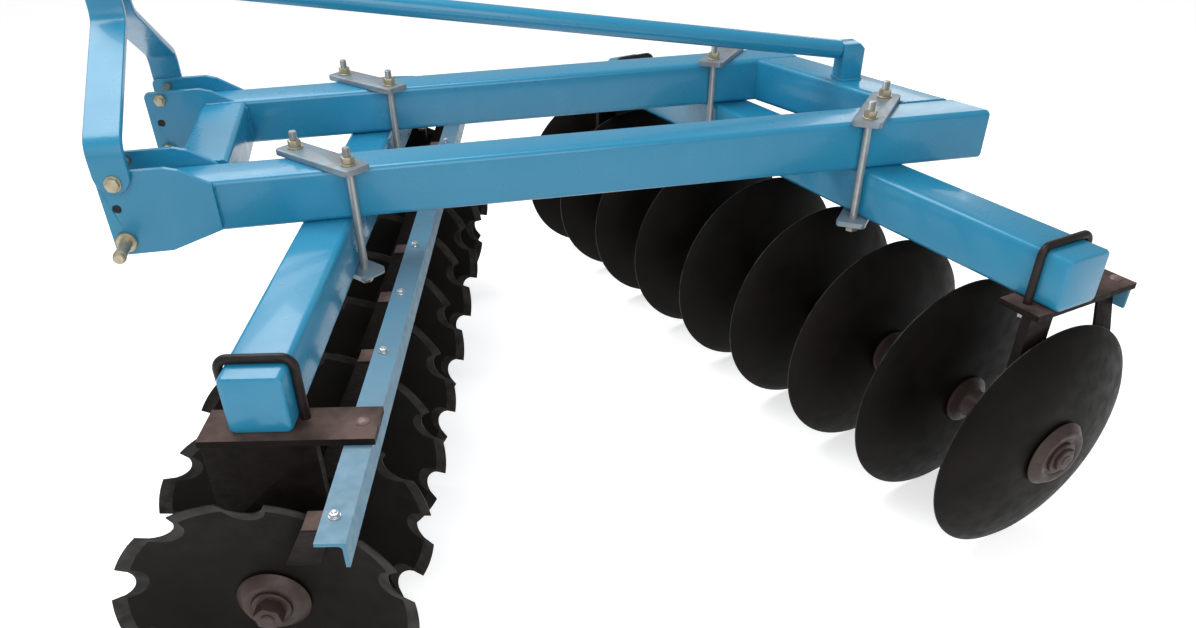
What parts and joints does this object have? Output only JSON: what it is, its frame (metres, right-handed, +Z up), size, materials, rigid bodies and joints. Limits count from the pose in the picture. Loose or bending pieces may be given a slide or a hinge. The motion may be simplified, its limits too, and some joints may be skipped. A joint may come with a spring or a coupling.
{
  "type": "mounted offset disc harrow",
  "caption": "Blue tractor-mounted offset disc harrow with a notched front gang, a plain rear gang and a three-point hitch mast.",
  "frame": {"origin": "on the floor under the middle of the machine's box", "axes": "+X forwards along the main beams, +Y to the machine's left, +Z up"},
  "size_m": [1.973, 2.1872, 1.15],
  "materials": {
    "blue_paint": "gloss",
    "black_blade": "satin",
    "brown_black_paint": "satin",
    "zinc_plate": "satin",
    "bright_bolt": "satin"
  },
  "bodies": {
    "root": {"front_cross_beam": "blue_paint", "front_gang_beam": "blue_paint", "front_left_clamp": "zinc_plate", "front_left_hanger": "brown_black_paint", "front_left_u_bolt": "brown_black_paint", "front_right_clamp": "zinc_plate", "front_right_hanger": "brown_black_paint", "front_right_u_bolt": "brown_black_paint", "front_scraper_bar": "blue_paint", "left_inner_hitch_plate": "blue_paint", "left_lower_hitch_pin": "bright_bolt", "left_main_beam": "blue_paint", "left_mast_bolt": "bright_bolt", "left_mast_leg": "blue_paint", "left_outer_hitch_plate": "blue_paint", "rear_cross_beam": "blue_paint", "rear_gang_beam": "blue_paint", "rear_left_clamp": "zinc_plate", "rear_left_hanger": "brown_black_paint", "rear_left_u_bolt": "brown_black_paint", "rear_right_clamp": "zinc_plate", "rear_right_hanger": "brown_black_paint", "rear_right_u_bolt": "brown_black_paint", "rear_scraper_bar": "blue_paint", "right_inner_hitch_plate": "blue_paint", "right_lower_hitch_pin": "bright_bolt", "right_main_beam": "blue_paint", "right_mast_bolt": "bright_bolt", "right_mast_leg": "blue_paint", "right_outer_hitch_plate": "blue_paint", "stay_bolt": "bright_bolt", "stay_pipe": "blue_paint", "stay_post": "blue_paint", "top_link_pin": "bright_bolt"},
    "front_gang": {"front_disc_1": "black_blade", "front_disc_2": "black_blade", "front_disc_3": "black_blade", "front_disc_4": "black_blade", "front_disc_5": "black_blade", "front_disc_6": "black_blade", "front_disc_7": "black_blade", "front_disc_8": "black_blade", "front_disc_9": "black_blade", "front_gang_axle": "brown_black_paint"},
    "rear_gang": {"rear_disc_1": "black_blade", "rear_disc_2": "black_blade", "rear_disc_3": "black_blade", "rear_disc_4": "black_blade", "rear_disc_5": "black_blade", "rear_disc_6": "black_blade", "rear_disc_7": "black_blade", "rear_disc_8": "black_blade", "rear_disc_9": "black_blade", "rear_gang_axle": "brown_black_paint"}
  },
  "joints": [
    {"name": "front_gang_spin", "type": "hinge", "parent": "root", "child": "front_gang", "pos_m": [0.57185, 0.00968, 0.25], "axis": [0.1798, 0.9837, 0], "continuous": true},
    {"name": "rear_gang_spin", "type": "hinge", "parent": "root", "child": "rear_gang", "pos_m": [-0.52566, 0.01892, 0.25], "axis": [-0.2982, 0.9545, 0], "continuous": true}
  ]
}
